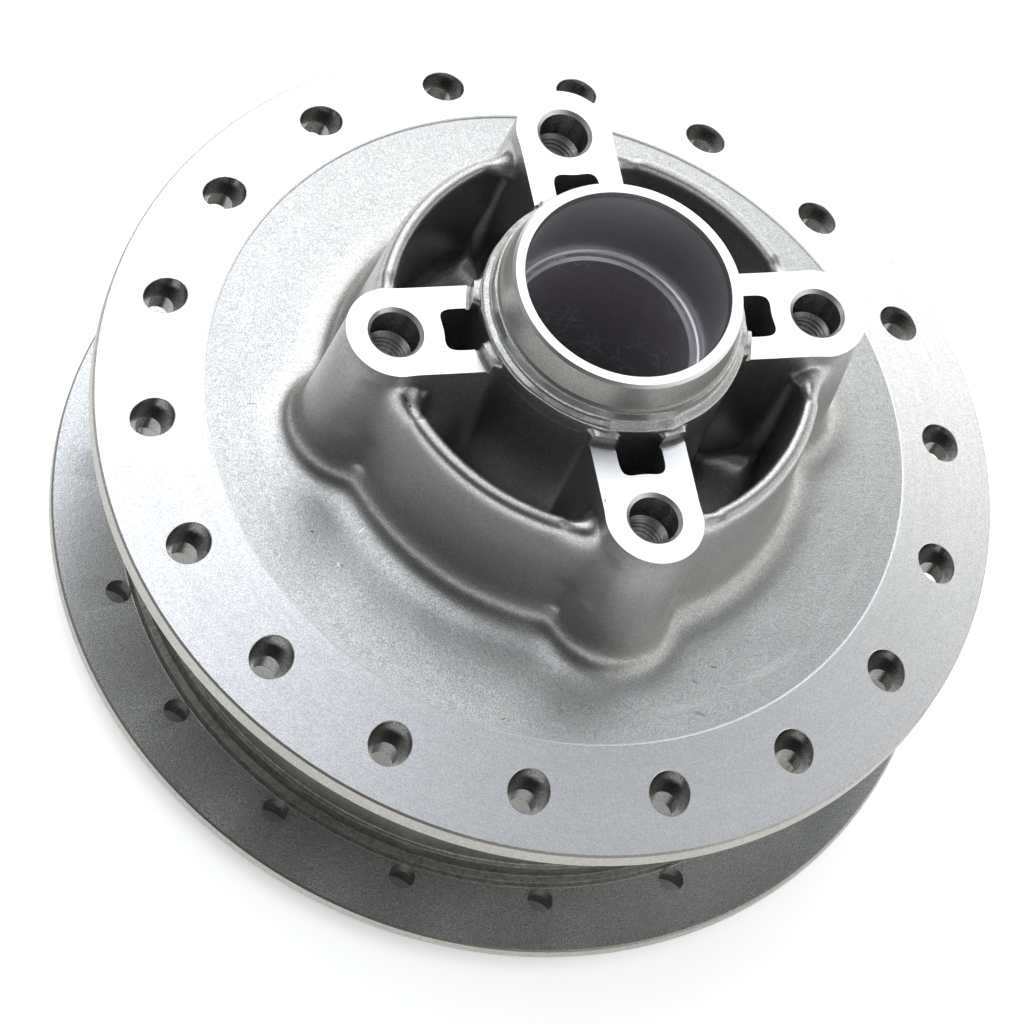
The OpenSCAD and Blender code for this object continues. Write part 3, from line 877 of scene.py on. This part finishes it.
@dataclass
class CastCore:
    """The cast centre: disc, shell, pockets, pillars, arms and boss, then milled, turned and bored."""

    sizes: Sizes
    voxel: float = 0.85
    smoothing: int = 5
    unevenness: float = 0.06
    disc_rim: Point = (68.5, 77.0)
    slice_z: float = 101.5
    allowance: float = 5.0
    register_r: float = 29.0
    register_top: float = 107.7
    groove_r: float = 29.8
    groove_depth: float = 0.5
    ring_r: float = 23.3
    ring_bevel: float = 0.6
    foot_r: float = 24.8
    foot_z: float = 111.5
    collar_r: float = 27.9
    collar_z: float = 106.9
    stud_core_r: float = 4.25
    stud_plain_r: float = 5.1
    stud_mouth_r: float = 5.85
    stud_plain_depth: float = 8.0
    stud_depth: float = 25.0
    drill_cone: float = 2.55
    thread_r: float = 5.0
    thread_pitch: float = 1.5
    thread_turns: int = 11

    def blank(self, node: bpy.types.Object) -> bmesh.types.BMesh:
        """Takes the cast forms from the solid and leaves stock on the machined faces.

        Args:
            node: The solid's own object, which stays as it is.

        Returns:
            A closed mesh of overlapping shells.
        """
        s = self.sizes
        bm = bmesh.new()
        bm.from_mesh(node.data)
        bmesh.ops.remove_doubles(bm, verts=bm.verts, dist=2e-6)
        for height, up in ((self.slice_z, True), (s.split_z - 2.0, False)):
            geom = bm.verts[:] + bm.edges[:] + bm.faces[:]
            made = bmesh.ops.bisect_plane(bm, geom=geom, dist=WELD, plane_co=(0, 0, height * MM),
                                          plane_no=(0, 0, 1), clear_outer=up, clear_inner=not up)
            edges = [e for e in made["geom_cut"] if isinstance(e, bmesh.types.BMEdge)]
            if up:
                grown = bmesh.ops.extrude_edge_only(bm, edges=edges)["geom"]
                verts = [v for v in grown if isinstance(v, bmesh.types.BMVert)]
                bmesh.ops.translate(bm, verts=verts, vec=(0, 0, self.allowance * MM))
                edges = [e for e in grown if isinstance(e, bmesh.types.BMEdge)]
            bmesh.ops.triangle_fill(bm, edges=edges, use_beauty=True)
        bmesh.ops.recalc_face_normals(bm, faces=bm.faces)
        stock = tube(self.foot_r + 0.3, 100, s.hub_height + 2, segments=96)
        fillers = [tube(s.bearing_r + 1, s.split_z - 1.5, s.hub_height + 1.5)]
        for turn in range(4):
            a = math.radians(90 * turn)
            fillers.append(tube(6.6, 72, self.slice_z + self.allowance - 0.3,
                                (s.stud_r * math.cos(a), s.stud_r * math.sin(a)), 32))
        return joined([bm, stock] + fillers)

    def soften(self, obj: bpy.types.Object) -> None:
        """Rounds the cast edges and gives the skin its unevenness."""
        bm = bmesh.new()
        bm.from_mesh(obj.data)
        smooth(bm, bm.verts, self.smoothing)
        chosen = [([v for v in bm.verts if zone.holds(v.co * 1000)], zone.passes)
                  for zone in (SHELL_FOOT, LIP, LIP_ENDS)]
        for verts, passes in chosen:
            smooth(bm, verts, passes)
        s = self.sizes
        bm.normal_update()
        for vert in bm.verts:
            p = vert.co * 1000
            r = math.hypot(p.x, p.y)
            vert.co += vert.normal * self.unevenness * noise.noise(p * 0.12) * MM
            if self.disc_rim[0] < r < self.disc_rim[1] and vert.normal.z > 0.3:
                vert.co.z = (s.disc_rim_z + (s.core_r - r) * s.disc_slope) * MM
        bm.to_mesh(obj.data)
        bm.free()

    def collar(self) -> bmesh.types.BMesh:
        """The cast ledge round the boss under its turned part, uneven and swollen at the arms."""
        r, z = self.collar_r, self.collar_z
        bm = revolve(rounded([
            (22.5, z - 8.0, 0), (r - 1.3, z - 8.0, 0), (r - 0.45, z - 3.0, 3.0), (r - 0.35, z + 0.6, 0.8),
            (r - 2.05, z + 1.3, 0.9), (r - 2.25, z + 4.1, 0.2), (r - 2.65, z + 4.6, 0), (22.5, z + 4.6, 0)
        ]), segments=320)
        bm.normal_update()
        for vert in bm.verts:
            p = vert.co * 1000
            out = math.hypot(p.x, p.y) - self.foot_r
            if out < 0.3:
                continue
            swell = 0.55 * clamped(1 - abs(from_arm(p) - 14.5) / 6.5)
            wave = 0.45 * noise.noise(p * 0.1 + Vector((7, 0, 0))) + 0.14 * noise.noise(p * 0.27)
            fade = clamped(out / 1.2) * clamped((p.z - z + 2.6) / 2.2)
            vert.co += vert.normal * fade * (swell * (0.6 + wave) + wave) * MM
        return bm

    def machining(self) -> bmesh.types.BMesh:
        """Cutter of all the faces that are milled or turned from above."""
        s = self.sizes
        top = s.hub_height + 8
        clear_r, foot = self.collar_r + 0.25, self.foot_z - 0.45
        groove = s.arm_height - self.groove_depth
        return revolve([
            (0, s.hub_height), (self.ring_r, s.hub_height),
            (self.ring_r + self.ring_bevel, s.hub_height - self.ring_bevel), (self.foot_r, self.foot_z),
            (self.foot_r + 0.45, foot), (clear_r, foot), (clear_r, self.register_top),
            (self.register_r, self.register_top), (self.register_r, groove), (self.groove_r, groove),
            (self.groove_r, s.arm_height), (90, s.arm_height), (90, top), (0, top)])

    def bore(self) -> bmesh.types.BMesh:
        """Cutter of the bearing seat and the passage."""
        s = self.sizes
        mouth_top = s.hub_height + s.mouth_depth
        return revolve(rounded([
            (0, s.split_z - 8, 0), (s.passage_r, s.split_z - 8, 0), (s.passage_r, s.upper_shoulder - 0.6, 0),
            (s.passage_r + 0.6, s.upper_shoulder, 0), (s.bearing_r, s.upper_shoulder, 0.8),
            (s.bearing_r, s.hub_height - s.mouth_depth, 0), (s.bearing_r + 0.9, mouth_top, 0),
            (0, mouth_top, 0)]))

    def stud_hole(self, turn: float) -> bmesh.types.BMesh:
        """Cutter of one stud hole before it is tapped."""
        s = self.sizes
        chamfer = self.stud_mouth_r - self.stud_plain_r
        floor, plain = s.arm_height - self.stud_depth, s.arm_height - self.stud_plain_depth
        return turned(revolve([
            (0, floor - self.drill_cone), (self.stud_core_r, floor), (self.stud_core_r, plain - 0.6),
            (self.stud_plain_r, plain), (self.stud_plain_r, s.arm_height - chamfer),
            (self.stud_mouth_r + 1, s.arm_height + 1), (0, s.arm_height + 1)], (s.stud_r, 0.0), 48), turn)

    def thread(self, turn: float) -> bmesh.types.BMesh:
        """Cutter of one thread: a ridge wound up the hole, with its two ends closed.

        Args:
            turn: Angle of the arm, in degrees.

        Returns:
            The cutter.
        """
        s = self.sizes
        steps = 36
        low = s.arm_height - self.stud_plain_depth - (self.thread_turns - 0.4) * self.thread_pitch
        inner = self.stud_core_r - 0.12
        tooth = [(inner, 0.03), (self.thread_r, 0.42), (self.thread_r, 0.54), (inner, 0.93)]
        bm = bmesh.new()
        verts = [bm.verts.new(((s.stud_r + r) * MM, 0, (low + part * self.thread_pitch) * MM))
                 for r, part in tooth]
        first = bm.faces.new(verts)
        bmesh.ops.spin(bm, geom=[first], cent=(s.stud_r * MM, 0, 0), axis=(0, 0, 1),
                       angle=math.tau * self.thread_turns, steps=steps * self.thread_turns,
                       dvec=(0, 0, self.thread_pitch / steps * MM), use_duplicate=False)
        face_outwards(bm)
        return turned(bm, turn)

    def build(self, paint: Paint, node: bpy.types.Object) -> bpy.types.Object:
        """Casts, machines and paints the core.

        Args:
            paint: The finishes.
            node: The solid that the core stands for.

        Returns:
            The core.
        """
        s = self.sizes
        obj = as_object(self.blank(node), "cast_core")
        step = obj.modifiers.new("cast", "REMESH")
        step.mode = "VOXEL"
        step.voxel_size = self.voxel * MM
        bake(obj)
        log.info("blank has %d faces", len(obj.data.polygons))
        self.soften(obj)
        cut(obj, self.collar(), "UNION")
        cut(obj, tube(s.core_r, s.split_z, s.hub_height + 11.5, segments=240), "INTERSECT")
        cut(obj, self.machining())
        cut(obj, self.bore())
        cut(obj, joined([self.stud_hole(90 * i) for i in range(4)]))
        cut(obj, joined([self.thread(90 * i) for i in range(4)]))
        smooth_by_angle(obj, 35)
        paint.dress(obj, self.skin)
        return obj

    def skin(self, r: float, z: float, centre: Vector, normal: Vector) -> Skin:
        """Names the surface of a face."""
        s = self.sizes
        for i in range(4):
            a = math.radians(90 * i)
            off = math.hypot(centre.x - s.stud_r * math.cos(a), centre.y - s.stud_r * math.sin(a))
            if off < self.stud_plain_r + 0.05:
                return Skin.THREAD if z < s.arm_height - self.stud_plain_depth else Skin.HOLE
        if r < s.passage_r + 0.05:
            return Skin.PASSAGE
        deep = s.hub_height - z
        if s.bearing_r + 0.05 < r < s.bearing_r + 0.9 and 0.1 < deep < s.mouth_depth:
            return Skin.BOSS
        if r < s.bearing_r + 0.5 and z > s.upper_shoulder - 1:
            ledge = z < s.upper_shoulder + 0.02 and s.passage_r + 0.62 < r < s.bearing_r - 0.75
            return Skin.PASSAGE if ledge else Skin.SEAT
        if z > s.hub_height - self.ring_bevel - 0.02 and r < self.foot_r:
            return Skin.MILLED
        if z > self.foot_z - 0.5 and r < self.foot_r + 0.5:
            return Skin.BOSS
        above = z - s.arm_height
        if abs(above + self.groove_depth) < 0.03 and r < self.groove_r + 0.02:
            return Skin.BOSS
        if abs(above) < 0.03 or abs(above + 0.3) < 0.32 and r > self.register_r - 0.05 and normal.z > 0.7:
            return Skin.MILLED
        if abs(z - self.register_top) < 0.03 or abs(r - self.register_r) < 0.05 and above > 0:
            return Skin.BOSS
        return Skin.CAST


@dataclass
class Studio:
    """The floor, the soft light all round and the camera."""

    lens: float = 218.18
    place: tuple[float, float, float] = (-0.411218, -0.585619, 1.12909)
    turn: tuple[float, float, float] = (29.9051, -14.4867, -11.5841)
    surround: float = 0.07
    warm: tuple[float, float, float, float] = (1.0, 0.99, 0.945, 1.0)
    cool: tuple[float, float, float, float] = (0.955, 0.985, 1.035, 1.0)
    floor_glow: float = 0.66
    shade: tuple[float, float] = (0.084, 0.097)
    panels: tuple[tuple[float, float, float, float], ...] = (
        (120, 62, 42, 1.62), (-60, 62, 42, 0.14), (80, 35, 42, 1.50), (-40, 35, 42, 0.60), (0, 12, 42, 0.48),
        (40, 12, 42, 1.09), (-40, 12, 42, 0.12), (0, 2, 24, 0.38), (45, 2, 24, 0.87), (-90, 2, 24, 0.47),
        (-45, 2, 24, 0.25), (160, 30, 42, 0.12),
    )

    def floor(self) -> None:
        """Lays a plain white floor. Its glow is seen by the camera and left out under the hub."""
        bm = bmesh.new()
        bmesh.ops.create_grid(bm, x_segments=1, y_segments=1, size=6.0)
        obj = as_object(bm, "floor")
        mat = bpy.data.materials.new("floor_white")
        mat.use_nodes = True
        mat.node_tree.nodes.clear()
        g = Graph(mat.node_tree)
        path = g.node("ShaderNodeLightPath").outputs
        seen = g.math("MAXIMUM", path["Is Camera Ray"], path["Is Glossy Ray"])
        seen = g.math("MAXIMUM", seen, path["Is Transmission Ray"])
        away = g.node("ShaderNodeVectorMath", operation="LENGTH")
        g.put(away.inputs[0], g.node("ShaderNodeTexCoord").outputs["Object"])
        open_floor = g.step(away.outputs["Value"], *self.shade)
        plain = g.node("ShaderNodeBsdfDiffuse")
        g.put(plain.inputs["Color"], (0.8, 0.8, 0.8, 1))
        glow = g.node("ShaderNodeEmission")
        shown = g.math("MULTIPLY", seen, open_floor)
        g.put(glow.inputs["Strength"], g.math("MULTIPLY", shown, self.floor_glow))
        both = g.node("ShaderNodeAddShader")
        g.put(both.inputs[0], plain.outputs[0])
        g.put(both.inputs[1], glow.outputs[0])
        g.put(g.node("ShaderNodeOutputMaterial").inputs[0], both.outputs[0])
        obj.data.materials.append(mat)

    def light(self) -> None:
        """Surrounds the hub with soft panels of light, each fading out round its own direction."""
        world = bpy.data.worlds.new("studio")
        bpy.context.scene.world = world
        world.use_nodes = True
        g = Graph(world.node_tree)
        back = world.node_tree.nodes["Background"]
        way = g.node("ShaderNodeTexCoord").outputs["Generated"]
        split = g.node("ShaderNodeSeparateXYZ")
        g.put(split.inputs[0], way)
        g.put(back.inputs[0], g.mix(g.step(split.outputs[2], 0.35, 0.75), self.warm, self.cool))
        level = self.surround
        for azimuth, elevation, width, gain in self.panels:
            a, e = math.radians(azimuth), math.radians(elevation)
            near = g.node("ShaderNodeVectorMath", operation="DOT_PRODUCT")
            g.put(near.inputs[0], way)
            g.put(near.inputs[1], Vector((math.cos(a) * math.cos(e), math.sin(a) * math.cos(e), math.sin(e))))
            lobe = g.step(near.outputs["Value"], math.cos(math.radians(width)), 1.0, 0.0, gain)
            level = g.math("ADD", level, lobe)
        g.put(back.inputs[1], level)

    def camera(self) -> None:
        """Stands the camera where the photo was taken from."""
        data = bpy.data.cameras.new("camera")
        data.sensor_width = 36
        data.lens = self.lens
        data.clip_start = 0.05
        obj = bpy.data.objects.new("camera", data)
        obj.location = self.place
        obj.rotation_euler = [math.radians(a) for a in self.turn]
        bpy.context.scene.collection.objects.link(obj)
        bpy.context.scene.camera = obj


def main() -> None:
    """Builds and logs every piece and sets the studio."""
    logging.basicConfig(level=logging.INFO, format="%(name)s: %(message)s")
    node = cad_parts["hub_casting"]
    paint = Paint()
    sizes = Sizes()
    core = CastCore(sizes).build(paint, node)
    pieces = [core, DrumAndFlanges(sizes).build(paint)]
    for obj in pieces:
        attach(obj, "root")
        log.info("%s: %d faces", obj.name, len(obj.data.polygons))
    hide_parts("hub_casting")
    studio = Studio()
    studio.floor()
    studio.light()
    studio.camera()
    bpy.context.scene.view_settings.view_transform = "Standard"


if __name__ == "__main__":
    main()
